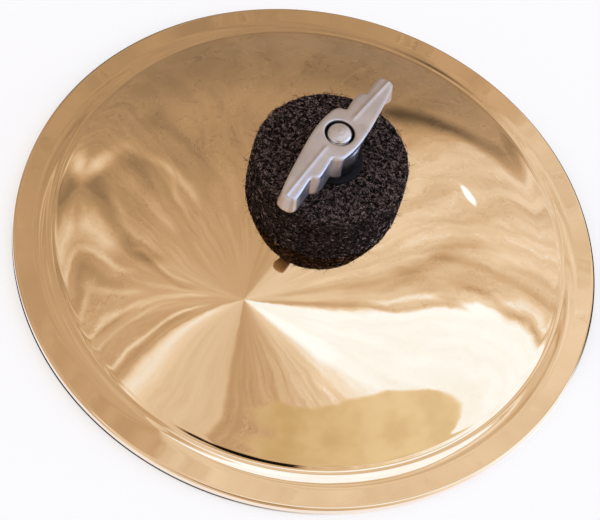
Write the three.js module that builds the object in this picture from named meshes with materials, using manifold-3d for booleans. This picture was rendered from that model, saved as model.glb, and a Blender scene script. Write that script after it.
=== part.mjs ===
// A small bell cymbal. A thick cast bronze bell lies between two felts on a short
// threaded stud. A wing nut closes the stack from above. A washer, a lock nut and a
// coupling nut carry it from below, inside the hollow of the bell.
// Lengths are millimetres and +Z is up. The origin is the centre of the circle on
// which the rim stands.

import * as THREE from "three";
import { mergeVertices } from "three/addons/utils/BufferGeometryUtils.js";
import Module from "manifold-3d";

const wasm = await Module();
wasm.setup();

// Bronze bell: a spherical crown that runs through a long hollow flare and a tighter
// fillet into the rim
const bellRadius = 76.2;
const bellHeight = 27;
const bellWall = 3.2;
const crownRadius = 110;
const flareRadius = 70;
const rimFilletRadius = 16.4;
const rimSlopeDegrees = 8;
const rimThickness = 3.3;
const rimEdgeRadius = 0.9;
const rimLandWidth = 1.8;
const holeEdgeBreak = 0.5;

// Threaded stud
const studRadius = 3;
const studChamfer = 0.7;
const studStandsProud = 0.5;
const studEngagement = 6;
const threadClearance = 0.12;

// Plastic sleeve that keeps the bell off the stud's thread
const sleeveLength = 20;
const sleeveWall = 1.5;
const sleeveClearance = 0.25;
const sleeveEdgeBreak = 0.3;
const bellHolePlay = 1.6;

// Felts, and the gap that a felt keeps to the sleeve and to the curved bronze
const upperFeltRadius = 19.25;
const upperFeltThickness = 15;
const lowerFeltRadius = 15;
const lowerFeltThickness = 5;
const feltEdgeRadius = 0.8;
const feltGap = 0.3;

// Steel washer and the two hexagon nuts under the lower felt
const seatWasherRadius = 14;
const seatWasherThickness = 1.5;
const washerEdgeBreak = 0.25;
const nutAcrossFlats = 10;
const nutChamferHeight = 0.5;
const lockNutHeight = 3.2;
const couplingNutLength = 12;

// Fibre washer under the wing nut
const footWasherRadius = 7.5;
const footWasherThickness = 1.2;

// Wing nut: two stepped, feather-shaped blades on a round boss
const wingTurnDegrees = 69;
const wingReach = 22.4;
const wingNutHeight = 10.6;
const hubHalfWidth = 5.65;
const bladeTipDrop = 2.1;
const bladeTipDepth = 5.3;
const bladeFootLap = 0.3;
const bladeRoofDrop = 0.5;
const bossRadius = 6.2;
const bossHeight = 3.4;
const bossTopRadius = 5.6;
const hubTopRadius = 5;
const countersinkWidth = 0.55;
const countersinkDepth = 0.9;

// How far a cutting or limiting shape runs past the piece that it works on
const overrun = 2;

// Fineness of the round shapes
const bellSegments = 80;
const feltSegments = 56;
const smallSegments = 36;
const crownSteps = 10;
const flareSteps = 2;
const filletSteps = 4;
const edgeSteps = 3;
const feltSteps = 5;
const bladeSteps = 10;

// Blade outline: each point is a share of the reach along the blade and a share of the
// hub's half width across it. The plain side runs out to the tip, and the feathered
// side comes back over two steps.
const plainSideShares = [
  [0, 1], [0.17, 0.955], [0.4, 0.82], [0.6, 0.67], [0.785, 0.53], [0.94, 0.37],
];
const tipShares = [
  [0.988, 0.26], [1, 0], [0.99, -0.27], [0.94, -0.38],
];
const featheredSideShares = [
  [0.78, -0.345], [0.655, -0.325], [0.638, -0.42], [0.612, -0.5], [0.575, -0.585],
  [0.455, -0.555], [0.315, -0.47], [0.305, -0.64], [0.285, -0.78], [0.25, -0.875],
  [0.14, -0.965],
];
// Where the blade's lower edge bends towards the tip, as a share of the reach
const bladeRiseShare = 0.62;

// Where the crown ends, as a share of the bell's radius, and how much of the crown's
// slope there is left at the flare's outer end
const crownEndShare = 0.79;
const flareEndShare = 0.844;

const quarterTurn = Math.PI / 2;
const rimSlope = THREE.MathUtils.degToRad(rimSlopeDegrees);
const flareEndSlope = Math.asin((crownEndShare * bellRadius) / crownRadius) * flareEndShare;

// Places that follow from the sizes, from the bell's apex outwards
const crownCentreZ = bellHeight - crownRadius;
const innerCrownRadius = crownRadius - bellWall;
const sleeveBore = studRadius + sleeveClearance;
const sleeveRadius = sleeveBore + sleeveWall;
const bellHoleRadius = sleeveRadius + bellHolePlay;
const feltBore = sleeveRadius + feltGap;
const nutBore = studRadius + threadClearance;

const upperFeltTopZ = bellHeight + upperFeltThickness;
const footWasherTopZ = upperFeltTopZ + footWasherThickness;
const studTopZ = footWasherTopZ + wingNutHeight + studStandsProud;

const seatWasherTopZ = bellHeight - bellWall - feltGap - lowerFeltThickness;
const lockNutTopZ = seatWasherTopZ - seatWasherThickness;
const couplingNutTopZ = lockNutTopZ - lockNutHeight;
const studFootZ = couplingNutTopZ - studEngagement;

// Points on an arc in the plane of radius and height
function arcPoints(centre, radius, fromAngle, toAngle, steps) {
  const points = [];
  for (let step = 0; step <= steps; step += 1) {
    const angle = fromAngle + ((toAngle - fromAngle) * step) / steps;
    const across = centre.x + radius * Math.cos(angle);
    const up = centre.y + radius * Math.sin(angle);
    points.push(new THREE.Vector2(across, up));
  }
  return points;
}

// Height of a sphere about the crown's centre at a distance from the axis
function crownZ(sphereRadius, distance) {
  return crownCentreZ + Math.sqrt(sphereRadius ** 2 - distance ** 2);
}

// Angle on that sphere, from the plane through its centre
function crownAngle(sphereRadius, distance) {
  return Math.acos(distance / sphereRadius);
}

// From where the fillet meets the rim's slope to the centre of the flare's circle
function flareOffset(flare, fillet) {
  const across = (flare - fillet) * Math.sin(flareEndSlope) + fillet * Math.sin(rimSlope);
  const up = (flare - fillet) * Math.cos(flareEndSlope) + fillet * Math.cos(rimSlope);
  return new THREE.Vector2(across, up);
}

// Centre of the flare's circle, which touches the crown's sphere from outside and leads
// over the fillet to the sloping line through the given point of the rim
function flareCentre(sphereRadius, flare, fillet, rimPoint) {
  const reach = sphereRadius + flare;
  const offset = flareOffset(flare, fillet);
  const slope = Math.tan(rimSlope);
  const startZ = rimPoint.y + offset.y - crownCentreZ;
  const lineZ = startZ + (rimPoint.x + offset.x) * slope;
  const squares = 1 + slope ** 2;
  const half = lineZ * slope;
  const across = (half + Math.sqrt(half ** 2 - squares * (lineZ ** 2 - reach ** 2))) / squares;
  return new THREE.Vector2(across, crownCentreZ + lineZ - across * slope);
}

// Flare and fillet between the crown and the rim, from the crown outwards
function flarePoints(sphereRadius, flare, fillet, rimPoint) {
  const centre = flareCentre(sphereRadius, flare, fillet, rimPoint);
  const between = new THREE.Vector2(Math.sin(flareEndSlope), Math.cos(flareEndSlope));
  const filletCentre = centre.clone().addScaledVector(between, fillet - flare);
  const toCrown = Math.atan2(centre.y - crownCentreZ, centre.x) + Math.PI;
  const toFillet = quarterTurn * 3 - flareEndSlope;
  const toRim = quarterTurn * 3 - rimSlope;
  return [
    ...arcPoints(centre, flare, toCrown, toFillet, flareSteps),
    ...arcPoints(filletCentre, fillet, toFillet, toRim, filletSteps).slice(1),
  ];
}

// Rounded outer edge of the rim, from the standing face to the upper face
function rimEdgePoints() {
  const edgeCentreAcross = bellRadius - rimEdgeRadius;
  const lower = new THREE.Vector2(edgeCentreAcross, rimEdgeRadius);
  const slopeRise = rimEdgeRadius * Math.tan(rimSlope);
  const upperZ = rimThickness + slopeRise - rimEdgeRadius / Math.cos(rimSlope);
  const upper = new THREE.Vector2(edgeCentreAcross, upperZ);
  return [
    ...arcPoints(lower, rimEdgeRadius, -quarterTurn, 0, edgeSteps),
    ...arcPoints(upper, rimEdgeRadius, 0, quarterTurn - rimSlope, edgeSteps),
  ];
}

// Part of the crown between two distances from the axis
function crownPoints(sphereRadius, fromDistance, toDistance, steps) {
  const centre = new THREE.Vector2(0, crownCentreZ);
  const from = crownAngle(sphereRadius, fromDistance);
  const to = crownAngle(sphereRadius, toDistance);
  return arcPoints(centre, sphereRadius, from, to, steps);
}

function bellProfile() {
  const landInside = bellRadius - rimEdgeRadius - rimLandWidth;
  const landPoint = new THREE.Vector2(landInside, 0);
  const rimPoint = new THREE.Vector2(bellRadius, rimThickness);
  const innerFlareRadius = flareRadius + bellWall;
  const innerFilletRadius = rimFilletRadius + bellWall;
  const innerFlare = flarePoints(
    innerCrownRadius, innerFlareRadius, innerFilletRadius, landPoint,
  );
  const outerFlare = flarePoints(crownRadius, flareRadius, rimFilletRadius, rimPoint);
  const brokenHole = bellHoleRadius + holeEdgeBreak;
  const innerCrown = crownPoints(innerCrownRadius, brokenHole, innerFlare[0].x, crownSteps);
  const outerCrown = crownPoints(crownRadius, outerFlare[0].x, brokenHole, crownSteps);
  const holeTop = crownZ(crownRadius, brokenHole) - holeEdgeBreak;
  const holeFoot = crownZ(innerCrownRadius, brokenHole) + holeEdgeBreak;
  const start = new THREE.Vector2(bellHoleRadius, holeFoot);
  return [
    start,
    ...innerCrown,
    ...innerFlare.slice(1),
    landPoint,
    ...rimEdgePoints(),
    ...outerFlare.reverse(),
    ...outerCrown.slice(1),
    new THREE.Vector2(bellHoleRadius, holeTop),
    start.clone(),
  ];
}

// Ring section with two rounded outer corners and a top and foot that may be curved
function feltProfile(outerRadius, footZ, topZ) {
  const across = outerRadius - feltEdgeRadius;
  const footCorner = new THREE.Vector2(across, footZ(across) + feltEdgeRadius);
  const topCorner = new THREE.Vector2(across, topZ(across) - feltEdgeRadius);
  const foot = [];
  const top = [];
  for (let step = 0; step < feltSteps; step += 1) {
    const distance = feltBore + ((across - feltBore) * step) / feltSteps;
    foot.push(new THREE.Vector2(distance, footZ(distance)));
    top.unshift(new THREE.Vector2(distance, topZ(distance)));
  }
  return [
    ...foot,
    ...arcPoints(footCorner, feltEdgeRadius, -quarterTurn, 0, edgeSteps),
    ...arcPoints(topCorner, feltEdgeRadius, 0, quarterTurn, edgeSteps),
    ...top,
    foot[0].clone(),
  ];
}

// Ring section between two radii and two heights, with its four edges broken
function ringProfile(innerRadius, outerRadius, footZ, topZ, edgeBreak) {
  const corners = [
    [innerRadius, footZ + edgeBreak],
    [innerRadius + edgeBreak, footZ],
    [outerRadius - edgeBreak, footZ],
    [outerRadius, footZ + edgeBreak],
    [outerRadius, topZ - edgeBreak],
    [outerRadius - edgeBreak, topZ],
    [innerRadius + edgeBreak, topZ],
    [innerRadius, topZ - edgeBreak],
    [innerRadius, footZ + edgeBreak],
  ];
  return corners.map(([across, up]) => new THREE.Vector2(across, up));
}

// Solid turned about the Z axis from a profile of radius and height
function turned(profile, segments) {
  const geometry = new THREE.LatheGeometry(profile, segments);
  geometry.rotateX(quarterTurn);
  return geometry;
}

// Turned solid without a bore, given as pairs of radius and height from foot to top
function turnedRod(pairs) {
  const profile = pairs.map(([across, up]) => new THREE.Vector2(across, up));
  return turned(profile, smallSegments);
}

// Closed solid for joining and cutting: shared corners are merged, and the triangles
// that the axis shrinks to a line are left out
function solidOf(geometry) {
  const plain = geometry.clone();
  plain.deleteAttribute("normal");
  plain.deleteAttribute("uv");
  const merged = mergeVertices(plain);
  const corners = merged.index.array;
  const triangles = [];
  for (let first = 0; first < corners.length; first += 3) {
    const [a, b, c] = corners.slice(first, first + 3);
    if (a !== b && b !== c && c !== a) {
      triangles.push(a, b, c);
    }
  }
  const mesh = new wasm.Mesh({
    numProp: 3,
    vertProperties: merged.attributes.position.array,
    triVerts: Uint32Array.from(triangles),
  });
  return new wasm.Manifold(mesh);
}

function geometryOf(solid) {
  const mesh = solid.getMesh();
  const geometry = new THREE.BufferGeometry();
  geometry.setAttribute("position", new THREE.BufferAttribute(mesh.vertProperties, 3));
  geometry.setIndex(new THREE.BufferAttribute(mesh.triVerts, 1));
  geometry.computeVertexNormals();
  return geometry;
}

// Hexagon nut standing on zero height, with its corners turned off at both ends
function hexagonNut(height) {
  const cornerRadius = nutAcrossFlats / 2 / Math.cos(Math.PI / 6);
  const prism = new THREE.CylinderGeometry(cornerRadius, cornerRadius, height, 6);
  prism.rotateX(quarterTurn);
  prism.translate(0, 0, height / 2);
  const turnedOff = turnedRod([
    [0, 0],
    [nutAcrossFlats / 2, 0],
    [cornerRadius, nutChamferHeight],
    [cornerRadius, height - nutChamferHeight],
    [nutAcrossFlats / 2, height],
    [0, height],
  ]);
  const bore = new THREE.CylinderGeometry(nutBore, nutBore, height + overrun, smallSegments);
  bore.rotateX(quarterTurn);
  bore.translate(0, 0, height / 2);
  const body = solidOf(prism).intersect(solidOf(turnedOff));
  return geometryOf(body.subtract(solidOf(bore)));
}

function wingPoint([alongShare, acrossShare], turn) {
  const along = alongShare * wingReach * turn;
  const across = -acrossShare * hubHalfWidth * turn;
  return new THREE.Vector2(along, across);
}

// Both blades seen from above: one half and its half-turn copy
function wingPlan() {
  const half = [...plainSideShares, ...tipShares, ...featheredSideShares];
  const points = [1, -1].flatMap((turn) => half.map((share) => wingPoint(share, turn)));
  return new THREE.Shape(points);
}

// Both blades seen from the side: an arched back over a lower edge that starts in the
// boss and bends towards the tips where these are shallower or deeper
function wingSide() {
  const bladeFootHeight = bossHeight - bladeFootLap;
  const tipZ = wingNutHeight - bladeTipDrop - bladeTipDepth;
  const back = [];
  for (let step = -bladeSteps; step <= bladeSteps; step += 1) {
    const share = step / bladeSteps;
    const up = wingNutHeight - bladeTipDrop * share ** 2;
    back.push(new THREE.Vector2(share * wingReach, up));
  }
  const outerEnd = wingReach + overrun;
  const tipTopZ = wingNutHeight - bladeTipDrop;
  const rise = wingReach * bladeRiseShare;
  return new THREE.Shape([
    new THREE.Vector2(-outerEnd, tipZ),
    new THREE.Vector2(-wingReach, tipZ),
    new THREE.Vector2(-rise, bladeFootHeight),
    new THREE.Vector2(rise, bladeFootHeight),
    new THREE.Vector2(wingReach, tipZ),
    new THREE.Vector2(outerEnd, tipZ),
    new THREE.Vector2(outerEnd, tipTopZ),
    ...back.reverse(),
    new THREE.Vector2(-outerEnd, tipTopZ),
  ]);
}

// Both blades seen along their length: a low roof whose ridge runs out from the hub
function wingRoof() {
  const eaves = wingNutHeight - bladeRoofDrop;
  return new THREE.Shape([
    new THREE.Vector2(-hubHalfWidth - overrun, 0),
    new THREE.Vector2(hubHalfWidth + overrun, 0),
    new THREE.Vector2(hubHalfWidth, eaves),
    new THREE.Vector2(0, wingNutHeight),
    new THREE.Vector2(-hubHalfWidth, eaves),
  ]);
}

function extruded(shape, depth) {
  return new THREE.ExtrudeGeometry(shape, { depth, bevelEnabled: false });
}

function wingBlades() {
  const plan = extruded(wingPlan(), wingNutHeight);
  const width = (hubHalfWidth + overrun) * 2;
  const side = extruded(wingSide(), width);
  side.translate(0, 0, -width / 2);
  side.rotateX(quarterTurn);
  const length = (wingReach + overrun) * 2;
  const roof = extruded(wingRoof(), length);
  roof.translate(0, 0, -length / 2);
  roof.rotateX(quarterTurn);
  roof.rotateZ(quarterTurn);
  return solidOf(plan).intersect(solidOf(side)).intersect(solidOf(roof));
}

// Hole through the wing nut, with a countersunk mouth round the end of the stud
function wingBore() {
  const mouthRadius = nutBore + countersinkWidth;
  return turnedRod([
    [0, -overrun],
    [nutBore, -overrun],
    [nutBore, wingNutHeight - countersinkDepth],
    [mouthRadius, wingNutHeight - countersinkDepth],
    [mouthRadius, wingNutHeight + overrun],
    [0, wingNutHeight + overrun],
  ]);
}

function wingNutGeometry() {
  const boss = turnedRod([
    [0, 0],
    [bossRadius, 0],
    [bossRadius, bossHeight / 2],
    [bossTopRadius, bossHeight],
    [hubTopRadius, wingNutHeight],
    [0, wingNutHeight],
  ]);
  const body = wingBlades().add(solidOf(boss));
  return geometryOf(body.subtract(solidOf(wingBore())));
}

function studGeometry() {
  const tipRadius = studRadius - studChamfer;
  return turnedRod([
    [0, studFootZ],
    [tipRadius, studFootZ],
    [studRadius, studFootZ + studChamfer],
    [studRadius, studTopZ - studChamfer],
    [tipRadius, studTopZ],
    [0, studTopZ],
  ]);
}

function sleeveGeometry() {
  const topZ = seatWasherTopZ + sleeveLength;
  const profile = ringProfile(sleeveBore, sleeveRadius, seatWasherTopZ, topZ, sleeveEdgeBreak);
  return turned(profile, smallSegments);
}

function washerGeometry(radius, footZ, topZ) {
  const profile = ringProfile(nutBore, radius, footZ, topZ, washerEdgeBreak);
  return turned(profile, smallSegments);
}

function upperFeltGeometry() {
  const footZ = (distance) => crownZ(crownRadius, distance) + feltGap;
  const topZ = () => upperFeltTopZ;
  return turned(feltProfile(upperFeltRadius, footZ, topZ), feltSegments);
}

function lowerFeltGeometry() {
  const footZ = () => seatWasherTopZ;
  const topZ = (distance) => crownZ(innerCrownRadius, distance) - feltGap;
  return turned(feltProfile(lowerFeltRadius, footZ, topZ), feltSegments);
}

// Surface colours and finishes
function finish(color, roughness, metalness) {
  return new THREE.MeshStandardMaterial({ color, roughness, metalness });
}

function piece(name, geometry, material) {
  const mesh = new THREE.Mesh(geometry, material);
  mesh.name = name;
  return mesh;
}

// Stud and the steel parts that are screwed to it
function stem() {
  const group = new THREE.Group();
  const lockNut = piece("lock_nut", hexagonNut(lockNutHeight), finish(0xb4b5b8, 0.32, 1));
  lockNut.position.z = couplingNutTopZ;
  const couplingNut = piece(
    "coupling_nut", hexagonNut(couplingNutLength), finish(0xb0b1b4, 0.34, 1));
  couplingNut.position.z = couplingNutTopZ - couplingNutLength;
  const seatWasher = washerGeometry(seatWasherRadius, lockNutTopZ, seatWasherTopZ);
  group.add(
    piece("threaded_stud", studGeometry(), finish(0xc4c2c3, 0.3, 1)),
    piece("seat_washer", seatWasher, finish(0xb9babd, 0.28, 1)),
    lockNut,
    couplingNut,
  );
  return group;
}

// Sleeve and felts that the bell turns with
function cushions() {
  const group = new THREE.Group();
  group.add(
    piece("hole_sleeve", sleeveGeometry(), finish(0x1b1b1c, 0.5, 0)),
    piece("lower_felt", lowerFeltGeometry(), finish(0x2b2829, 0.95, 0)),
    piece("upper_felt", upperFeltGeometry(), finish(0x2b2829, 0.95, 0)),
  );
  return group;
}

// Wing nut on its fibre washer, turned to where it stands when tight
function wingNutGroup() {
  const group = new THREE.Group();
  group.position.z = upperFeltTopZ;
  const footWasher = washerGeometry(footWasherRadius, 0, footWasherThickness);
  const wingNut = piece("wing_nut", wingNutGeometry(), finish(0xbfbabd, 0.35, 1));
  wingNut.position.z = footWasherThickness;
  wingNut.rotation.z = THREE.MathUtils.degToRad(wingTurnDegrees);
  group.add(piece("foot_washer", footWasher, finish(0x141414, 0.6, 0)), wingNut);
  return group;
}

const bellCymbal = new THREE.Group();
bellCymbal.add(
  stem(),
  cushions(),
  piece("bell_cymbal", turned(bellProfile(), bellSegments), finish(0xd3a669, 0.08, 1)),
  wingNutGroup(),
);

export default bellCymbal;
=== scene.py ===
"""Looks of the bell cymbal: a polished bronze bell between two felts on a threaded stud.

Laid out as an add-on with one operator for each piece or group of like pieces, and run as
a script. Lengths are metres and angles are radians. +Z is up along the stud, and the origin
is the centre of the circle on which the rim stands.
"""

import math
from itertools import product

import bmesh
import bpy
import numpy as np
from bpy.props import FloatProperty, FloatVectorProperty, IntProperty, PointerProperty
from mathutils import Matrix, Vector, noise


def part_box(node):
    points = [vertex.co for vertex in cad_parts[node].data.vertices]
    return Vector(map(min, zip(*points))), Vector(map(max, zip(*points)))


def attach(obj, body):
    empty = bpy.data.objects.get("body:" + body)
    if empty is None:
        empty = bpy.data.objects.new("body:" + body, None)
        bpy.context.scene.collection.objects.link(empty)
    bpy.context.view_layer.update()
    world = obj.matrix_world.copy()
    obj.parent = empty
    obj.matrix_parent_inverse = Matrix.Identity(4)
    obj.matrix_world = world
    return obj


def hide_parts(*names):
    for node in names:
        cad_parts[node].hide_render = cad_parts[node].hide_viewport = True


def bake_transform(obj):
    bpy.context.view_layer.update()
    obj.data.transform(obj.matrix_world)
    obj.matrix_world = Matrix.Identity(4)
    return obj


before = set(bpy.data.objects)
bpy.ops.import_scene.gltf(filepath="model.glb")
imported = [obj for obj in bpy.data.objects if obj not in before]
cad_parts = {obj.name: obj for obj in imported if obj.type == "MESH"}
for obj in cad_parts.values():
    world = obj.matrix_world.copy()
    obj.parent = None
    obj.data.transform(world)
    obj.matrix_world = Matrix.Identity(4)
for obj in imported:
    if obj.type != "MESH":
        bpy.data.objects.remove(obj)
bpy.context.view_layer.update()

bl_info = {
    "name": "Bell Cymbal",
    "version": (1, 0, 0),
    "blender": (4, 5, 0),
    "location": "View3D > Sidebar > Bell Cymbal",
    "description": "Builds a small bronze bell cymbal with its felts, stud and wing nut",
    "category": "Add Mesh",
}

TAU = math.tau
QUARTER = math.pi / 2
THREE_QUARTERS = 1.5 * math.pi
FULL_TURN = 360.0
WHITE = (1.0, 1.0, 1.0)

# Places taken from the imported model
BELL_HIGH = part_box("bell_cymbal")[1]
UPPER_FELT_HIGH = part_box("upper_felt")[1]
LOWER_FELT_LOW, LOWER_FELT_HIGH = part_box("lower_felt")
SLEEVE_LOW, SLEEVE_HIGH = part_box("hole_sleeve")
SEAT_LOW, SEAT_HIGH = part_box("seat_washer")
FOOT_LOW, FOOT_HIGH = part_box("foot_washer")
LOCK_LOW, LOCK_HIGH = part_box("lock_nut")
COUPLING_LOW, COUPLING_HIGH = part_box("coupling_nut")
STUD_LOW, STUD_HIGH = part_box("threaded_stud")
WING_LOW, WING_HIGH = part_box("wing_nut")

# Blade outline of the wing nut: each point is a share of the reach along the blade and a
# share of the hub's half width across it
PLAIN_SIDE_SHARES = (
    (0, 1), (0.09, 0.985), (0.17, 0.955), (0.28, 0.9), (0.4, 0.82), (0.5, 0.745),
    (0.6, 0.67), (0.7, 0.6), (0.785, 0.53), (0.87, 0.45), (0.94, 0.37),
)
TIP_SHARES = ((0.985, 0.28), (0.999, 0.13), (1, -0.04), (0.994, -0.22), (0.972, -0.34))
FEATHERED_SIDE_SHARES = (
    (0.935, -0.38), (0.86, -0.38), (0.76, -0.34), (0.695, -0.31), (0.66, -0.32),
    (0.648, -0.36), (0.638, -0.43), (0.618, -0.51), (0.585, -0.575), (0.53, -0.58),
    (0.45, -0.55), (0.38, -0.505), (0.33, -0.475), (0.31, -0.54), (0.303, -0.66),
    (0.285, -0.78), (0.25, -0.87), (0.2, -0.925), (0.1, -0.98),
)
# Shares of the reach at which the hub ends, the blade's lower edge starts to rise and the
# tip starts
HUB_END_SHARE = 0.2
BLADE_RISE_SHARE = 0.496
TIP_START_SHARE = 0.8
# Painted shade on the round foot: fully dark below the first height, none above the second
FOOT_SHADE_HEIGHTS = (0.0022, 0.0052)

# Steps round the rim's edge, round any smaller edge, and round a washer or sleeve
EDGE_STEPS, ROUND_STEPS, RING_STEPS = 9, 4, 160
# Steps along a thread for each turn, and the slope and the flat root of its tooth
STEPS_A_THREAD = 12
TOOTH_SLOPE = 1.35
TOOTH_ROOT = 0.12
# Shares of a nut's half width at which its corners are turned off and its face ends, and
# the chamfer of its threaded hole
CORNER_SHARE, FACE_SHARE = 0.985, 0.96
HOLE_CHAMFER = 0.0004

# Steps along a fibre, how near the fibres lie to a felt's edges, and the direction and
# spread of the crowded hairs
FIBRE_STEPS = 7
FIBRE_MARGIN = 0.0002
CROWD_TURN, CROWD_SPREAD = math.radians(196), math.radians(9)
# Grain of the bronze: soft waves and casting pits, and the rings of turning underneath
WAVES_A_METRE = 48
PITS_A_METRE = 130
BELL_RING_STEP = 0.0011
# A depth of the thick felt, down from its top: the part of the real felt that gives way when the
# bell rocks
FELT_GIVE = 0.014

# Brightness of the tent's cloth round its gather: degrees of turn and tone
TENT_TONES = (
    (0, 0.58), (12, 0.58), (20, 0.62), (26, 0.8), (34, 0.82), (45, 0.86), (58, 0.87),
    (63, 0.84), (69, 0.8), (80.5, 0.78), (82, 1.07), (110, 1.05), (120, 0.93), (130, 0.82),
    (142, 0.68), (160, 0.6), (177, 0.56), (180, 0.76), (200, 0.8), (214, 0.8), (226, 0.88),
    (236, 0.9), (239, 0.62), (247, 0.64), (262, 0.66), (272, 0.72), (280, 0.66),
    (286, 0.72), (296, 0.64), (330, 0.62),
)
# How far the folds lean: degrees of turn, and degrees of lean for each degree outwards from
# where the leaning starts to where it ends
LEAN_START, LEAN_END = 20.0, 64.0
TENT_LEANS = (
    (0, 0.0), (40, 0.1), (60, 0.34), (80, 0.38), (110, 0.1), (140, 0.0), (178, 0.0),
    (200, 0.2), (225, 0.45), (245, 0.5), (262, 0.27), (270, 0.0), (280, -0.4),
    (300, -0.5), (312, -0.2), (325, 0.15),
)
# Single folds of the cloth: from degrees outwards and of turn to degrees outwards and of
# turn, half width in degrees, and how much brighter the cloth is there
TENT_FOLDS = (
    (12, 252, 36, 240, 2.2, 0.28), (12, 267, 42, 258, 3.0, 0.24),
    (16, 246, 36, 236, 4.0, -0.1), (18, 261, 40, 250, 1.6, 0.14),
    (22, 264, 42, 254, 1.6, -0.12), (16, 275, 32, 286, 3.5, -0.14),
    (18, 280, 34, 290, 2.0, 0.14), (34, 280, 50, 286, 2.4, 0.2),
    (36, 273, 48, 279, 4.0, -0.1), (30, 268, 46, 272, 2.5, 0.12),
    (42, 290, 54, 294, 9.0, 0.3), (28, 288, 64, 305, 5.0, -0.26),
    (34, 325, 64, 318, 2.4, 0.16), (28, 317, 50, 322, 2.0, 0.12),
    (40, 333, 70, 326, 4.0, -0.08), (30, 308, 52, 311, 4.0, 0.1),
    (44, 312, 58, 316, 6.0, -0.12), (8, 238, 34, 225, 8.0, 0.1),
    (6, 112, 26, 110, 10.0, 0.14), (36, 72, 52, 67, 2.0, 0.22),
    (36, 75, 62, 67.5, 1.4, -0.2), (5, 82, 30, 77, 5.0, -0.16),
    (10, 68, 50, 61, 6.0, -0.12), (44, 58, 70, 48, 5.0, -0.18),
    (56, 53, 92, 57, 2.2, -0.16), (62, 61, 90, 66, 2.2, -0.16),
    (58, 48, 96, 45, 2.4, 0.04), (64, 43, 96, 38, 3.0, -0.12),
    (78, 12, 102, 24, 6.0, -0.42), (12, 50, 32, 46, 20.0, -0.03),
    (60, 66, 86, 61, 5.0, 0.16), (30, 290, 60, 300, 10.0, 0.06),
)
# Lamps that glow through the cloth and the dark slits below the camera: turn, outwards, half
# sizes of both, and brightness
TENT_GLOWS = (
    (35.5, 76.5, 3.6, 1.6, 1.1), (309, 65.5, 9, 5.5, 0.42), (158, 46.5, 16, 6, -2.0),
    (173, 42.5, 18, 6, -2.0), (190, 39.5, 12, 4, -1.0),
)
# Middle turns of the pale fan, of the duller side and of the darker far cloth
FAN_TURN, DULL_TURN, FAR_TURN = 208.0, 315.0, 350.0
# The cloth's colours from dim to bright, and what the golden cloth is mixed with
WARM_CLOTH = (1.0, 0.82, 0.69)
PALE_CLOTH = (1.0, 1.02, 1.15)
BRIGHT_CLOTH = (1.0, 1.35, 2.2)
YELLOW = (1.0, 1.0, 0.0)
# The floor's own tint, the painted reflection that the metal sees of it near the rim, and the
# painted contact shadow where they touch
PAPER_TINT = (1.0, 0.97, 0.9)
PAINTED_PAPER_GLOW = (1.1, 1.3, 1.9)
PAINTED_CONTACT_SHADE = (0.01, 0.008, 0.006)
# How far beyond the rim the painted contact shadow ends, and the metal stops seeing the floor's
# painted glow
PAINTED_SHADOW_ENDS = (0.0005, 0.0008)
PAPER_ENDS = (0.006, 0.009)
# Inner edge of the golden cloth before the white wall: degrees of turn and outwards
GOLD_EDGE = ((92, 66), (95, 58), (105, 47), (118, 40.5), (135, 36), (150, 30))


def length(name, description, default):
    """A length in metres that the panel shows"""
    return FloatProperty(name=name, description=description, default=default, unit="LENGTH",
                         precision=5)


def angle(name, description, degrees):
    """An angle that is given in degrees and kept in radians"""
    return FloatProperty(name=name, description=description, default=math.radians(degrees),
                         subtype="ANGLE")


def colour(name, description, default):
    return FloatVectorProperty(name=name, description=description, default=default,
                               subtype="COLOR", size=3, min=0, max=1)


def number(name, description, default):
    return FloatProperty(name=name, description=description, default=default)


def count(name, description, default):
    return IntProperty(name=name, description=description, default=default, min=1)


class BellSizes(bpy.types.PropertyGroup):
    rim_radius: length("Rim radius", "Outer radius of the flared rim", BELL_HIGH.x)
    crown_radius: length("Crown radius", "Radius of the sphere that the crown follows", 0.110)
    wall: length("Wall", "Thickness of the cast bronze", 0.0032)
    flare_radius: length("Flare", "Wide hollow between crown and fillet", 0.070)
    flare_end: angle("Flare end", "Slope where the wide hollow meets the fillet", 28)
    fillet_radius: length("Fillet", "Hollow round between flare and rim", 0.0164)
    groove_inset: length("Groove inset", "From the rim's edge to the groove", 0.0096)
    groove_depth: length("Groove depth", "Shallow groove inside the fillet", 0.00021)
    groove_width: length("Groove width", "Half width of the groove", 0.0007)
    rim_slope: angle("Rim slope", "How far the rim falls outwards", 8)
    rim_thickness: length("Rim thickness", "Height of the rim at its edge", 0.0033)
    edge_radius: length("Edge radius", "Round of the rim's outer edge", 0.0009)
    land_width: length("Land width", "Width of the ring on which the rim stands", 0.0018)
    hole_radius: length("Hole radius", "Hole for the sleeve", 0.00635)
    hole_break: length("Hole edge", "Round of the hole's two edges", 0.0005)
    unevenness: length("Unevenness", "Height of the polisher's soft waves", 0.000012)
    segments: count("Segments", "Steps round the bell", 320)


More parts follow.
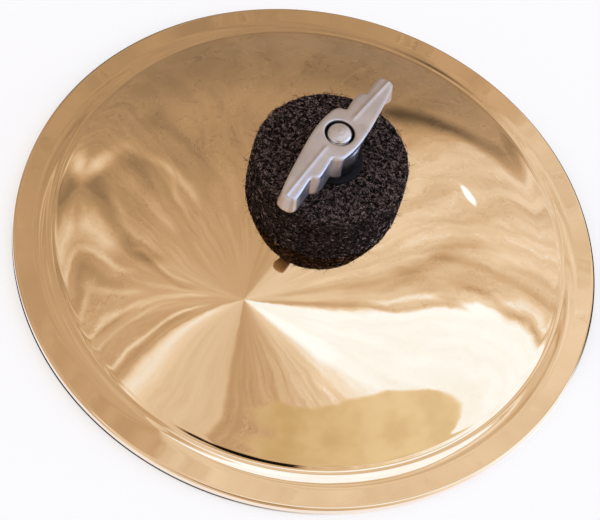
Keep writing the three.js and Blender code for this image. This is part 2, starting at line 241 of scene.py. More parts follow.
class FeltSizes(bpy.types.PropertyGroup):
    upper_radius: length("Upper radius", "Radius of the thick felt", 0.01925)
    lower_radius: length("Lower radius", "Radius of the thin felt", LOWER_FELT_HIGH.x)
    bore: length("Bore", "Radius of the hole in a felt", 0.00505)
    edge_radius: length("Edge radius", "Soft edge of a felt", 0.0008)
    seat_gap: length("Seat gap", "Space between a felt and the bronze", 0.00008)
    lean_x: length("Cut off centre X", "How far the felt is cut off centre", -0.00022)
    lean_y: length("Cut off centre Y", "How far the felt is cut off centre", 0.00065)
    bulge: length("Bulge", "Swelling of the wall half way up", 0.00018)
    nap_height: length("Nap height", "Depth of the felt's small hollows", 0.0002)
    nap_size: length("Nap size", "Distance between the small hollows", 0.0009)
    fibre_length: length("Fibre length", "Usual length of a surface fibre", 0.0022)
    fibre_width: length("Fibre width", "Thickness of a surface fibre", 0.0001)
    fibres: count("Fibres", "Surface fibres on the thick felt", 4200)
    hairs: count("Loose hairs", "Longer hairs that stand off the wall", 70)
    seed: count("Seed", "Start of the fibres' random places", 11)
    segments: count("Segments", "Steps round a felt", 360)


class WingNutSizes(bpy.types.PropertyGroup):
    reach: length("Reach", "Length of a blade from the axis", 0.0224)
    turn: angle("Turn", "Direction of a blade when the nut is tight", 69)
    hub_half_width: length("Hub half width", "Half width across the hub", 0.00565)
    height: length("Height", "From the washer to the top of the hub", WING_HIGH.z - WING_LOW.z)
    tip_drop: length("Tip drop", "How far the back falls towards a tip", 0.0021)
    tip_depth: length("Tip depth", "Height of a blade's end", 0.0053)
    blade_lap: length("Blade lap", "How far the blades reach down beside the round foot", 0.0003)
    draft: number("Draft", "How far the fluted walls lean out for each unit of depth", 0.12)
    undercut: number("Undercut", "How far the other walls lean in for each unit of depth", 0.16)
    roof_drop: length("Roof drop", "Fall from the ridge to the hub's side", 0.00022)
    ridge_height: length("Ridge height", "Height of the casting's ridge line", 0.00022)
    ridge_width: length("Ridge width", "Width of the casting's ridge line", 0.00034)
    boss_radius: length("Boss radius", "Round foot on the washer", 0.0062)
    boss_top_radius: length("Boss top radius", "Round foot below the blades", 0.0056)
    boss_height: length("Boss height", "Height of the round foot", 0.0034)
    bore: length("Bore", "Radius of the threaded hole", 0.00312)
    mouth: length("Mouth", "Radius of the hole's wider mouth", 0.00365)
    mouth_depth: length("Mouth depth", "Depth of the wider mouth", 0.0016)
    edge_blend: length("Edge blend", "Softness of the casting's edges", 0.0006)
    foot_blend: length("Foot blend", "Softness of the edge on the washer", 0.0004)
    hub_blend: length("Hub blend", "Softness between blades and round foot", 0.0008)
    mouth_blend: length("Mouth blend", "Softness of the hole's edge", 0.00025)
    cell: length("Cell", "Grid step of the casting's surface", 0.00021)


class StudSizes(bpy.types.PropertyGroup):
    radius: length("Radius", "Outer radius of the thread", 0.003)
    pitch: length("Pitch", "Rise of the thread in one turn", 0.001)
    depth: length("Thread depth", "Depth of the thread", 0.00054)
    chamfer: length("Chamfer", "Chamfer at the ends", 0.0005)
    dome: length("Dome", "Rise of the rounded end", 0.0003)
    clearance: length("Clearance", "Space between the thread and a nut", 0.00012)


class HardwareSizes(bpy.types.PropertyGroup):
    across_flats: length("Across flats", "Width of the hexagon nuts", 0.010)
    face_chamfer: angle("Face chamfer", "Slope that turns off the nuts' corners", 30)
    edge_break: length("Edge break", "Small round of washers and sleeve", 0.00025)
    sleeve_bore: length("Sleeve bore", "Inner radius of the sleeve", 0.00325)


class Finishes(bpy.types.PropertyGroup):
    bronze: colour("Bronze", "Polished bell bronze", (0.85, 0.60, 0.33))
    felt_dark: colour("Felt, dark", "Hollows of the felt", (0.0012, 0.0006, 0.0004))
    felt_light: colour("Felt, light", "Fibres of the felt", (0.46, 0.32, 0.26))
    cast_metal: colour("Cast metal", "Satin casting of the wing nut", (0.64, 0.58, 0.54))
    stud_steel: colour("Stud steel", "Bright zinc", (0.70, 0.65, 0.62))
    plated_steel: colour("Plated steel", "Bright nickel", (0.68, 0.67, 0.67))
    nylon: colour("Nylon", "Black moulded sleeve", (0.012, 0.012, 0.013))
    fibre: colour("Fibre", "Black fibre washer", (0.006, 0.005, 0.005))


class StageSizes(bpy.types.PropertyGroup):
    camera_azimuth: angle("Camera azimuth", "Turn of the camera about the object", 0)
    camera_elevation: angle("Camera elevation", "Height of the camera", 57.352)
    camera_roll: angle("Camera roll", "Tilt of the camera about its own axis", 15.849)
    camera_distance: length("Camera distance", "From the camera to its aim", 0.6)
    aim: FloatVectorProperty(name="Aim", description="Point at which the camera looks",
                             default=(-0.000879, -0.002635, -0.001688), size=3,
                             subtype="TRANSLATION", unit="LENGTH", precision=5)
    lens: number("Lens", "Focal length in millimetres on a sensor 36 wide", 138.286)
    floor_size: length("Floor size", "Side of the floor", 6.0)
    floor_tone: number("Floor tone", "How much light the floor gives back", 0.45)
    floor_glow: number("Floor glow", "Light that brings the floor up to white", 0.62)
    gather_azimuth: angle("Gather azimuth", "Where the tent's cloth is gathered", 255)
    gather_elevation: angle("Gather elevation", "Height of the gather", 77)
    raggedness: number("Raggedness", "How far the folds stray, in degrees", 9.0)
    tent_level: number("Tent level", "Brightness of the tent", 1.0)


SETTINGS = {
    "bell_sizes": BellSizes,
    "felt_sizes": FeltSizes,
    "wing_nut_sizes": WingNutSizes,
    "stud_sizes": StudSizes,
    "hardware_sizes": HardwareSizes,
    "finishes": Finishes,
    "stage_sizes": StageSizes,
}


# Node trees

class Signal:
    """Output of a node, with which sums and products can be written"""

    def __init__(self, graph, socket):
        self.graph = graph
        self.socket = socket

    def __add__(self, other):
        return self.graph.math("ADD", self, other)

    def __sub__(self, other):
        return self.graph.math("SUBTRACT", self, other)

    def __rsub__(self, other):
        return self.graph.math("SUBTRACT", other, self)

    def __mul__(self, other):
        return self.graph.math("MULTIPLY", self, other)

    def __truediv__(self, other):
        return self.graph.math("DIVIDE", self, other)

    def __mod__(self, other):
        return self.graph.math("FLOORED_MODULO", self, other)

    def __abs__(self):
        return self.graph.math("ABSOLUTE", self)


class Graph:
    """Short ways to write one node tree"""

    def __init__(self, tree):
        self.tree = tree
        tree.nodes.clear()

    def add(self, kind, inputs=None, **settings):
        made = self.tree.nodes.new(kind)
        for name, value in settings.items():
            setattr(made, name, value)
        for name, value in (inputs or {}).items():
            if isinstance(value, Signal):
                self.tree.links.new(value.socket, made.inputs[name])
            else:
                made.inputs[name].default_value = value
        return made

    def signal(self, kind, inputs=None, output=0, **settings):
        """Output of a new node, by its place or its name"""
        return Signal(self, self.add(kind, inputs, **settings).outputs[output])

    def math(self, operation, *values):
        return self.signal("ShaderNodeMath", dict(enumerate(values)), operation=operation)

    def vector_math(self, operation, vector, other, output=0):
        return self.signal("ShaderNodeVectorMath", {0: vector, 1: other}, output,
                           operation=operation)

    def dot(self, vector, other):
        return self.vector_math("DOT_PRODUCT", vector, other, "Value")

    def joined(self, x, y, z):
        return self.signal("ShaderNodeCombineXYZ", {0: x, 1: y, 2: z})

    def parts(self, vector):
        made = self.add("ShaderNodeSeparateXYZ", {0: vector})
        return [Signal(self, output) for output in made.outputs]

    def coordinates(self, kind):
        return self.signal("ShaderNodeTexCoord", output=kind)

    def ray(self, kind):
        return self.signal("ShaderNodeLightPath", output=kind)

    def reach(self, x, y):
        """Length of the line to a place from the origin"""
        return self.math("SQRT", x * x + y * y)

    def noise(self, vector, scale, detail=2.0, distortion=0.0, roughness=0.5):
        inputs = {"Vector": vector, "Scale": scale, "Detail": detail,
                  "Distortion": distortion, "Roughness": roughness}
        return self.signal("ShaderNodeTexNoise", inputs, "Fac")

    def fade(self, value, start, end, low=0.0, high=1.0):
        """Smooth step of a value between two places"""
        inputs = {"Value": value, "From Min": start, "From Max": end,
                  "To Min": low, "To Max": high}
        return self.signal("ShaderNodeMapRange", inputs, "Result",
                           interpolation_type="SMOOTHSTEP")

    def uneven(self, vector, scale, detail, low, high):
        """Level that strays softly between two values"""
        return self.fade(self.noise(vector, scale, detail), 0.3, 0.7, low, high)

    def mix(self, share, first, second):
        first, second = (value if isinstance(value, Signal) else (*value, 1.0)
                         for value in (first, second))
        return self.signal("ShaderNodeMix", {0: share, 6: first, 7: second}, 2,
                           data_type="RGBA")

    def ramp(self, share, stops):
        """Grey ramp through pairs of place and level"""
        made = self.add("ShaderNodeValToRGB", {0: share})
        elements = made.color_ramp.elements
        for place, level in stops[1:-1]:
            elements.new(place).color = (level, level, level, 1.0)
        for element, (place, level) in ((elements[0], stops[0]), (elements[-1], stops[-1])):
            element.position = place
            element.color = (level, level, level, 1.0)
        return Signal(self, made.outputs["Color"])

    def track(self, turn, stops, low, high):
        """Level between two limits that follows pairs of turn and level"""
        scaled = [(place / FULL_TURN, (level - low) / (high - low)) for place, level in stops]
        return self.ramp(turn / FULL_TURN, scaled) * (high - low) + low

    def bump(self, height, distance, strength=1.0, normal=None):
        inputs = {"Height": height, "Distance": distance, "Strength": strength}
        if normal is not None:
            inputs["Normal"] = normal
        return self.signal("ShaderNodeBump", inputs)

    def surface(self, shader):
        self.add("ShaderNodeOutputMaterial", {"Surface": shader})


def tinted(rgb, factor):
    return tuple(min(channel * factor, 1.0) for channel in rgb)


def new_material(name, preview):
    material = bpy.data.materials.new(name)
    material.use_nodes = True
    material.diffuse_color = (*preview, 1.0)
    return material, Graph(material.node_tree)


def surfaced(material, graph, **inputs):
    """Material with a principled surface, whose inputs are given with _ for a space"""
    named = {name.replace("_", " "): value for name, value in inputs.items()}
    graph.surface(graph.signal("ShaderNodeBsdfPrincipled", named))
    return material


def object_place(graph):
    """Place on the piece, its distance from the axis, and its x, y and z"""
    place = graph.coordinates("Object")
    x, y, z = graph.parts(place)
    return place, graph.reach(x, y), (x, y, z)


def upwards(graph):
    """How far the surface faces up, from -1 to 1"""
    return graph.parts(graph.coordinates("Normal"))[2]


def clouded(graph, clouds, base, low, high, start=0.3):
    """Colour that goes from a darker to a paler tint with a noise"""
    return graph.mix(graph.fade(clouds, start, 0.7), tinted(base, low), tinted(base, high))


def tool_rings(graph, across, step):
    """Fine rings that a tool leaves on a turned piece"""
    return graph.math("SINE", across * (TAU / step))


def bronze_material(finishes, sizes):
    """Mirror polish above, turned and less polished below, a few casting pits, and painted
    shade that darkens the rim's edge at the right and at the upper left"""
    bronze = finishes.bronze
    material, graph = new_material("polished_bronze", bronze)
    place, across, (x, y, _z) = object_place(graph)
    below = graph.fade(upwards(graph), 0.1, -0.1)
    body = clouded(graph, graph.noise(place, 45, 4), bronze, 0.97, 1.02)
    cells = graph.signal("ShaderNodeTexVoronoi", {"Vector": place, "Scale": PITS_A_METRE},
                         "Distance")
    pits = graph.fade(cells, 0.05, 0.02) * graph.fade(graph.noise(place, 38, 1), 0.62, 0.7)
    body = graph.mix(pits, body, tinted(bronze, 0.12))
    rim = sizes.rim_radius
    # Painted shade: the rim's edge at the right and at the upper left is coloured nearly black
    # and not metallic
    right = graph.fade(x, 0.45 * rim, 0.8 * rim) * graph.fade(y, -0.3 * rim, 0.0)
    left = graph.fade(x, -0.3 * rim, -0.7 * rim) * graph.fade(y, 0.1 * rim, 0.5 * rim)
    head = rim - 0.65 * sizes.edge_radius
    edge = graph.fade(across, head, head + 0.2 * sizes.edge_radius)
    edge = edge * graph.math("MAXIMUM", right, left)
    body = graph.mix(edge, body, tinted(bronze, 0.03))
    streaks = graph.noise(graph.joined(across, 0, 0), 2600, 3)
    turned = graph.bump((tool_rings(graph, across, BELL_RING_STEP) + streaks) * below, 0.00002)
    waves = graph.bump(graph.noise(place, 260, 2), 0.000006, 1.0, turned)
    return surfaced(material, graph, Base_Color=body, Metallic=1.0 - edge,
                    Roughness=graph.uneven(place, 90, 3, 0.02, 0.05) + below * 0.13,
                    Normal=waves, Specular_IOR_Level=0.0)


def felt_material(finishes):
    """Pressed wool: dark hollows under pale curled fibres, with painted shade on the cut wall"""
    material, graph = new_material("charcoal_felt", finishes.felt_light)
    layers = graph.vector_math("MULTIPLY", graph.coordinates("Object"), (1.0, 1.0, 2.6))
    # Painted shade: where the felt faces sideways it gets fewer pale fibres, so the wall looks
    # darker than the top
    flat = graph.fade(upwards(graph), 0.3, 0.85)
    fine = graph.noise(layers, 1700, 3, 0.8)
    lumps = graph.fade(graph.noise(layers, 1100, 3, 0.8), 0.42, 0.6, 0.06, 1.0)
    curls = graph.fade(abs(fine - 0.5), 0.06, 0.01) * lumps
    specks = graph.fade(graph.noise(layers, 2300, 3, 0.6), 0.48, 0.68) * lumps
    share = graph.math("MAXIMUM", curls * 0.7, specks) * (flat * 0.45 + 0.55)
    body = graph.mix(share, finishes.felt_dark, finishes.felt_light)
    return surfaced(material, graph, Base_Color=body, Roughness=0.95,
                    Normal=graph.bump(curls + fine, 0.00025, 0.9), Specular_IOR_Level=0.02)


def fibre_material(finishes):
    """Single wool fibres, each with its own grey"""
    material, graph = new_material("felt_fibres", finishes.felt_light)
    greys = graph.fade(graph.noise(graph.coordinates("Object"), 900, 1), 0.5, 0.7)
    body = graph.mix(greys, tinted(finishes.felt_dark, 1.5), tinted(finishes.felt_light, 1.1))
    return surfaced(material, graph, Base_Color=body, Roughness=0.8, Specular_IOR_Level=0.05)


def cast_material(finishes, sizes):
    """Satin plated casting with a fine skin, and painted shade in the threaded hole and round
    foot
    """
    metal = finishes.cast_metal
    material, graph = new_material("cast_wing_metal", metal)
    place, across, (_x, _y, height) = object_place(graph)
    clouds = graph.noise(place, 260, 3)
    # Painted shade: the threaded hole below the top is coloured nearly black
    hole = graph.fade(across, sizes.mouth + 0.0001, sizes.mouth - 0.00005)
    sunk = graph.fade(height, WING_HIGH.z - 0.00015, WING_HIGH.z - 0.0004)
    body = graph.mix(hole * sunk, clouded(graph, clouds, metal, 0.93, 1.05),
                     tinted(metal, 0.04))
    # Painted shade: the round foot darkens towards the washer
    shade_full_below, shade_none_above = (WING_LOW.z + rise for rise in FOOT_SHADE_HEIGHTS)
    low = graph.fade(height, shade_none_above, shade_full_below, 0.0, 0.9)
    round_foot = graph.fade(across, sizes.boss_radius + 0.0006, sizes.boss_radius + 0.0001)
    body = graph.mix(low * round_foot, body, tinted(metal, 0.03))
    relief = graph.bump(graph.noise(place, 2400, 3), 0.00002, 0.5,
                        graph.bump(clouds, 0.0001, 0.5))
    return surfaced(material, graph, Base_Color=body, Metallic=1.0, Normal=relief,
                    Roughness=graph.uneven(place, 700, 2, 0.3, 0.4))


def steel_material(name, base, low_rough, high_rough, ring_step):
    """Plated steel with the faint rings of its turning"""
    material, graph = new_material(name, base)
    place, across, _parts = object_place(graph)
    clouds = graph.noise(place, 420, 3)
    relief = graph.bump(tool_rings(graph, across, ring_step) + clouds, 0.000012, 0.7)
    return surfaced(material, graph, Base_Color=clouded(graph, clouds, base, 0.9, 1.04),
                    Metallic=1.0, Normal=relief,
                    Roughness=graph.uneven(place, 1100, 2, low_rough, high_rough))


def dull_material(name, base, roughness, grain, depth):
    """Moulded or pressed dark piece with a fine grain"""
    material, graph = new_material(name, base)
    place = graph.coordinates("Object")
    speck = graph.noise(place, grain, 3)
    rough = graph.uneven(place, grain / 5, 2, roughness - 0.08, roughness + 0.08)
    return surfaced(material, graph, Base_Color=clouded(graph, speck, base, 0.75, 1.5, 0.35),
                    Roughness=rough, Specular_IOR_Level=0.2,
                    Normal=graph.bump(speck, depth, 0.8))


# Meshes

def linked(name, data):
    """New object of the scene, which shows a mesh or holds a camera"""
    made = bpy.data.objects.new(name, data)
    bpy.context.scene.collection.objects.link(made)
    return made


def add_object(name, places, faces, material, sharp=None):
    """Object with smooth shading, closed faces turned outwards"""
    mesh = bpy.data.meshes.new(name)
    mesh.from_pydata(places, [], faces)
    mesh.materials.append(material)
    work = bmesh.new()
    work.from_mesh(mesh)
    bmesh.ops.recalc_face_normals(work, faces=work.faces)
    work.to_mesh(mesh)
    work.free()
    mesh.shade_smooth()
    if sharp is not None:
        mesh.set_sharp_from_angle(angle=sharp)
    return linked(name, mesh)


def grid_faces(rows, columns, rows_close):
    """Quads over a grid of points whose columns close on themselves"""
    index = np.arange(rows * columns).reshape(rows, columns)
    beside = np.roll(index, -1, axis=1)
    quads = np.stack([index, beside, np.roll(beside, -1, axis=0), np.roll(index, -1, axis=0)],
                     axis=-1)
    if not rows_close:
        quads = quads[:-1]
    return quads.reshape(-1, 4).tolist()


def around(segments):
    return np.arange(segments) * TAU / segments


def ring_places(across, turns, up):
    """Places at distances from the axis, turns about it and heights"""
    return np.stack(np.broadcast_arrays(across * np.cos(turns), across * np.sin(turns), up),
                    axis=-1)


def turned_points(profile, segments):
    """Grid of points: one row for each pair of radius and height"""
    across, up = np.array(profile, float).T
    return ring_places(across[:, None], around(segments), up[:, None])


def add_grid(name, points, material, rows_close=True, sharp=None):
    rows, columns, _three = points.shape
    faces = grid_faces(rows, columns, rows_close)
    return add_object(name, points.reshape(-1, 3).tolist(), faces, material, sharp)


def arc(across, up, radius, start, end, steps):
    """Points of an arc in the plane of radius and height"""
    turns = np.linspace(start, end, steps + 1)
    return [(across + radius * math.cos(t), up + radius * math.sin(t)) for t in turns]


def line(first, last, steps):
    """Points of a straight line in the same plane"""
    shares = np.linspace(0, 1, steps + 1)
    return [tuple(np.array(first) * (1 - s) + np.array(last) * s) for s in shares]


# Bell

def crown_centre(sizes):
    """Height of the centre of the spheres that the crown's two faces follow"""
    hole_edge = sizes.hole_radius + sizes.hole_break
    return BELL_HIGH.z - math.sqrt(sizes.crown_radius ** 2 - hole_edge ** 2)


def crown_height(sizes, sphere, across):
    """Height of a crown's face at distances from the axis"""
    return crown_centre(sizes) + np.sqrt(sphere ** 2 - np.square(across))


def flare_centre(sizes, sphere, flare, fillet, rim_point):
    """Centre of the wide hollow, which touches the crown and a fillet that ends on the rim"""
    end, rim = sizes.flare_end, sizes.rim_slope
    across = (flare - fillet) * math.sin(end) + fillet * math.sin(rim)
    up = (flare - fillet) * math.cos(end) + fillet * math.cos(rim)
    slope = math.tan(rim)
    line_up = rim_point[1] + up - crown_centre(sizes) + (rim_point[0] + across) * slope
    squares = 1 + slope ** 2
    half = line_up * slope
    spare = half ** 2 - squares * (line_up ** 2 - (sphere + flare) ** 2)
    centre_across = (half + math.sqrt(spare)) / squares
    return centre_across, crown_centre(sizes) + line_up - centre_across * slope


def bell_side(sizes, wall, rim_point, crown_steps, flare_steps):
    """Crown, wide hollow and fillet of one face of the bell, from the hole outwards"""
    sphere = sizes.crown_radius - wall
    flare, fillet = sizes.flare_radius + wall, sizes.fillet_radius + wall
    centre = crown_centre(sizes)
    across, up = flare_centre(sizes, sphere, flare, fillet, rim_point)
    to_crown = math.atan2(up - centre, across)
    to_fillet = THREE_QUARTERS - sizes.flare_end
    hole_edge = sizes.hole_radius + sizes.hole_break
    crown = arc(0, centre, sphere, math.acos(hole_edge / sphere), to_crown, crown_steps)
    hollow = arc(across, up, flare, to_crown + math.pi, to_fillet, flare_steps)
    inwards = flare - fillet
    foot = arc(across - inwards * math.sin(sizes.flare_end),
               up - inwards * math.cos(sizes.flare_end), fillet, to_fillet,
               THREE_QUARTERS - sizes.rim_slope, flare_steps)
    return crown + hollow[1:] + foot[1:]


def grooved(side, sizes):
    """Face of the bell with the shallow groove where the hollow meets the fillet"""
    place = sizes.rim_radius - sizes.groove_inset
    return [(across, up - sizes.groove_depth
             * math.exp(-((across - place) / sizes.groove_width) ** 2)) for across, up in side]


def bell_profile(sizes):
    """Closed section of the bell: its inner face, the rim, its outer face and the hole"""
    edge_across = sizes.rim_radius - sizes.edge_radius
    land = (edge_across - sizes.land_width, 0)
    lift = sizes.edge_radius * (math.tan(sizes.rim_slope) - 1 / math.cos(sizes.rim_slope))
    edge_up = sizes.rim_thickness + lift
    inner = bell_side(sizes, sizes.wall, land, crown_steps=60, flare_steps=10)
    outer = bell_side(sizes, 0, (sizes.rim_radius, sizes.rim_thickness), crown_steps=110,
                      flare_steps=30)
    outer = grooved(outer, sizes)
    foot = arc(edge_across, sizes.edge_radius, sizes.edge_radius, -QUARTER, 0, EDGE_STEPS)
    head = arc(edge_across, edge_up, sizes.edge_radius, 0, QUARTER - sizes.rim_slope,
               EDGE_STEPS)
    broken, soft = sizes.hole_radius + sizes.hole_break, sizes.hole_break
    mouth = arc(broken, outer[0][1] - soft, soft, QUARTER, math.pi, ROUND_STEPS)
    heel = arc(broken, inner[0][1] + soft, soft, math.pi, THREE_QUARTERS, ROUND_STEPS)
    return (inner + line(inner[-1], land, 8)[1:] + line(land, foot[0], 3)[1:] + foot[1:] + head
            + line(head[-1], outer[-1], 12)[1:] + outer[::-1][1:] + mouth[1:] + heel[:-1])


def softened(points, sizes):
    """Bell with the polisher's soft waves on the crown, and none near the rim"""
    across = np.hypot(points[..., 0], points[..., 1])
    fade = np.clip((0.9 * sizes.rim_radius - across) / (0.06 * sizes.rim_radius), 0, 1)
    waves = [noise.noise(Vector(place) * WAVES_A_METRE) for place in points.reshape(-1, 3)]
    points[..., 2] += np.reshape(waves, across.shape) * fade * sizes.unevenness
    return points


# Felts

def felt_shape(sizes, radius, foot, top):
    """Grid of points of a felt between a foot and a top that may be curved"""
    edge = sizes.edge_radius
    thick = top(radius) - foot(radius)
    wall = line((radius, edge), (radius, thick - edge), 40)
    low = arc(radius - edge, edge, edge, -QUARTER, 0, ROUND_STEPS)
    high = arc(radius - edge, thick - edge, edge, 0, QUARTER, ROUND_STEPS)
    floor = line((sizes.bore, 0), (radius - edge, 0), 14)
    roof = line((radius - edge, thick), (sizes.bore, thick), 40)
    bore = line((sizes.bore, thick), (sizes.bore, 0), 8)
    profile = floor + low[1:] + wall[1:] + high[1:] + roof[1:] + bore[1:-1]
    across, up = np.array(profile).T
    share = np.clip(up / thick, 0, 1)
    turns = around(sizes.segments)
    outwards = np.clip((across - sizes.bore) / (radius - sizes.bore), 0, 1)
    swell = across + sizes.bulge * np.sin(math.pi * share) * outwards ** 6
    x = np.outer(swell, np.cos(turns)) + sizes.lean_x * outwards[:, None]
    y = np.outer(swell, np.sin(turns)) + sizes.lean_y * outwards[:, None]
    out = np.hypot(x, y)
    z = foot(out) + (top(out) - foot(out)) * share[:, None]
    return np.stack([x, y, z], axis=-1), share, outwards


def napped(points, share, outwards, sizes):
    """Felt with small hollows and lumps on the parts that show"""
    near = 1 / sizes.nap_size
    wide = near / 7
    bumps = np.reshape([noise.noise(Vector(p) * near) + 0.7 * noise.noise(Vector(p) * wide)
                        for p in points.reshape(-1, 3)], points.shape[:2]) * sizes.nap_height
    side = (outwards ** 8)[:, None]
    out = np.hypot(points[..., 0], points[..., 1])
    points[..., :2] *= (1 + side * bumps / out)[..., None]
    roof = (np.clip((share - 0.9) * 10, 0, 1) * np.clip(outwards * 6, 0, 1))[:, None]
    points[..., 2] += roof * (bumps - 0.5 * sizes.nap_height)
    return points


def add_tubes(name, paths, lifts, widths, material):
    """Thin three-sided tubes along many short paths, pinched at both ends"""
    number_of, steps, _three = paths.shape
    along = np.gradient(paths, axis=1)
    along /= np.linalg.norm(along, axis=2, keepdims=True)
    beside = np.cross(along, lifts)
    beside /= np.linalg.norm(beside, axis=2, keepdims=True)
    over = np.cross(beside, along)
    thick = np.sin(np.linspace(0.12, 0.88, steps) * math.pi)[:, None] * widths[:, None, None]
    sides = [paths + (math.cos(turn) * over + math.sin(turn) * beside) * thick
             for turn in around(3)]
    points = np.stack(sides, axis=2).reshape(-1, 3).tolist()
    one = np.array([[row * 3 + side, row * 3 + (side + 1) % 3, (row + 1) * 3 + (side + 1) % 3,
                     (row + 1) * 3 + side] for row in range(steps - 1) for side in range(3)])
    starts = np.arange(number_of)[:, None, None] * steps * 3
    quads = (starts + one).reshape(-1, 4).tolist()
    last = (steps - 1) * 3
    ends = (starts + np.array([[2, 1, 0], [last, last + 1, last + 2]])).reshape(-1, 3).tolist()
    return add_object(name, points, quads + ends, material)


def curled_paths(draw, reach, curl):
    """Flat curled paths about the origin: two coordinates for each step"""
    number_of = len(reach)
    heading = draw.uniform(0, TAU, (number_of, 1))
    bend = draw.normal(0, curl, (number_of, 1)) * np.linspace(-0.5, 0.5, FIBRE_STEPS)
    wobble = np.cumsum(draw.normal(0, 0.35, (number_of, FIBRE_STEPS)), axis=1)
    turns = heading + bend + wobble
    stride = reach[:, None] / (FIBRE_STEPS - 1)
    return np.cumsum(np.cos(turns) * stride, axis=1), np.cumsum(np.sin(turns) * stride, axis=1)


def lying_paths(draw, sizes, number_of):
    """Curled paths of fibres that lie on the felt"""
    return curled_paths(draw, sizes.fibre_length * draw.uniform(0.6, 1.3, number_of), 2.2)


def arched(draw, low, high, number_of):
    """How far fibres stand off, most in the middle"""
    return draw.uniform(low, high, (number_of, 1)) * np.sin(np.linspace(0, math.pi, FIBRE_STEPS))


def wall_places(sizes, turn, up, off, foot, top):
    """Places on a felt's wall for turns and heights, a little off it, with what is outwards"""
    share = np.clip((up - foot) / (top - foot), 0, 1)
    radius = sizes.upper_radius + sizes.bulge * np.sin(math.pi * share) + off
    shift = np.array([sizes.lean_x, sizes.lean_y, 0])
    return ring_places(radius, turn, up) + shift, ring_places(1, turn, np.zeros_like(turn))


def wall_fibres(draw, sizes, number_of, foot, top):
    """Fibres that lie on the wall of the thick felt"""
    sideways, upwards_by = lying_paths(draw, sizes, number_of)
    centre = draw.uniform(foot + 3 * FIBRE_MARGIN, top - FIBRE_MARGIN, (number_of, 1))
    turn = draw.uniform(0, TAU, (number_of, 1)) + sideways / sizes.upper_radius
    up = np.clip(centre + upwards_by * 0.7, foot + FIBRE_MARGIN, top + FIBRE_MARGIN)
    rise = arched(draw, 0.00002, 0.00022, number_of)
    return wall_places(sizes, turn, up, rise + 0.00002, foot, top)


def roof_fibres(draw, sizes, number_of, top):
    """Fibres that lie on the top of the thick felt"""
    x, y = lying_paths(draw, sizes, number_of)
    out = np.sqrt(draw.uniform((sizes.bore / sizes.upper_radius) ** 2, 1, (number_of, 1)))
    out *= sizes.upper_radius - 2 * FIBRE_MARGIN
    turn = draw.uniform(0, TAU, (number_of, 1))
    x += out * np.cos(turn) + sizes.lean_x
    y += out * np.sin(turn) + sizes.lean_y
    paths = np.stack([x, y, top + arched(draw, 0.0, 0.00018, number_of)], axis=-1)
    return paths, np.broadcast_to([0.0, 0.0, 1.0], paths.shape)


def loose_hairs(draw, sizes, foot, top):
    """Longer hairs that stand off the wall, most of them on one side"""
    number_of = sizes.hairs
    crowd = number_of // 3
    reach = sizes.fibre_length * draw.uniform(0.5, 1.25, number_of)
    away = np.linspace(0, 1, FIBRE_STEPS) * reach[:, None]
    away = away * draw.uniform(0.25, 0.9, (number_of, 1))
    sideways, upwards_by = curled_paths(draw, reach * 0.7, 1.4)
    turn = draw.uniform(0, TAU, (number_of, 1))
    turn[:crowd] = draw.normal(CROWD_TURN, CROWD_SPREAD, (crowd, 1))
    centre = draw.uniform(foot + 0.001, top - 0.0005, (number_of, 1))
    centre[:crowd] = foot + (top - foot) * draw.uniform(0.3, 0.75, (crowd, 1))
    up = np.clip(centre + upwards_by * 0.6, foot + 0.0003, top + 0.0006)
    return wall_places(sizes, turn + sideways / sizes.upper_radius, up, away, foot, top)


# Wing nut

def polygon_distance(points, x, y):
    """Distance of each place to a closed outline, negative inside it"""
    nearest = np.full(x.shape, np.inf)
    inside = np.zeros(x.shape, bool)
    for (ax, ay), (bx, by) in zip(points, np.roll(points, -1, axis=0)):
        dx, dy = bx - ax, by - ay
        along = np.clip(((x - ax) * dx + (y - ay) * dy) / (dx * dx + dy * dy), 0, 1)
        nearest = np.minimum(nearest, np.hypot(x - ax - along * dx, y - ay - along * dy))
        rise = dy if abs(dy) > 1e-12 else 1e-12
        inside ^= ((ay > y) != (by > y)) & (x < dx * (y - ay) / rise + ax)
    return np.where(inside, -nearest, nearest)


def soft_max(first, second, blend):
    """The larger of two fields, rounded where they meet"""
    overlap = np.maximum(blend - np.abs(first - second), 0) / blend
    return np.maximum(first, second) + overlap * overlap * blend / 4


def soft_min(first, second, blend):
    return -soft_max(-first, -second, blend)


def smooth_share(value, start, end):
    share = np.clip((value - start) / (end - start), 0, 1)
    return share * share * (3 - 2 * share)


def blade_field(sizes, s, t, z):
    """Field of the two blades: walls with draft or undercut, a ridged back and a lower edge"""
    half_width, blend = sizes.hub_half_width, sizes.edge_blend
    shares = PLAIN_SIDE_SHARES + TIP_SHARES + FEATHERED_SIDE_SHARES
    half = np.array(shares) * (sizes.reach, half_width)
    outline = np.concatenate([half, -half])
    plan = polygon_distance(outline, s[:, :, 0], t[:, :, 0])[:, :, None]
    run = np.abs(s) / sizes.reach
    offside = np.where(s < 0, -t, t)
    ridge_place = offside - 0.05 * half_width
    roof = sizes.roof_drop * np.sqrt(np.square(ridge_place) + 1e-8) / half_width
    ridge = sizes.ridge_height * np.exp(-np.square(ridge_place / sizes.ridge_width))
    back = sizes.height - sizes.tip_drop * np.square(run)
    top = back + smooth_share(run, HUB_END_SHARE, 0.3) * (ridge - roof)
    tip_foot = sizes.height - sizes.tip_drop - sizes.tip_depth
    blade_foot = sizes.boss_height - sizes.blade_lap
    foot = blade_foot + (tip_foot - blade_foot) * smooth_share(run, BLADE_RISE_SHARE, 1)
    fluted = smooth_share(-offside, 0, 0.2 * half_width)
    fluted = fluted * smooth_share(run, HUB_END_SHARE, 0.27)
    fluted = np.maximum(fluted, smooth_share(run, TIP_START_SHARE, 0.95))
    lean = sizes.draft * fluted - sizes.undercut * (1 - fluted)
    walls = plan - lean * np.maximum(top - z - blend, 0)
    return soft_max(soft_max(walls, z - top, blend), foot - z, blend)


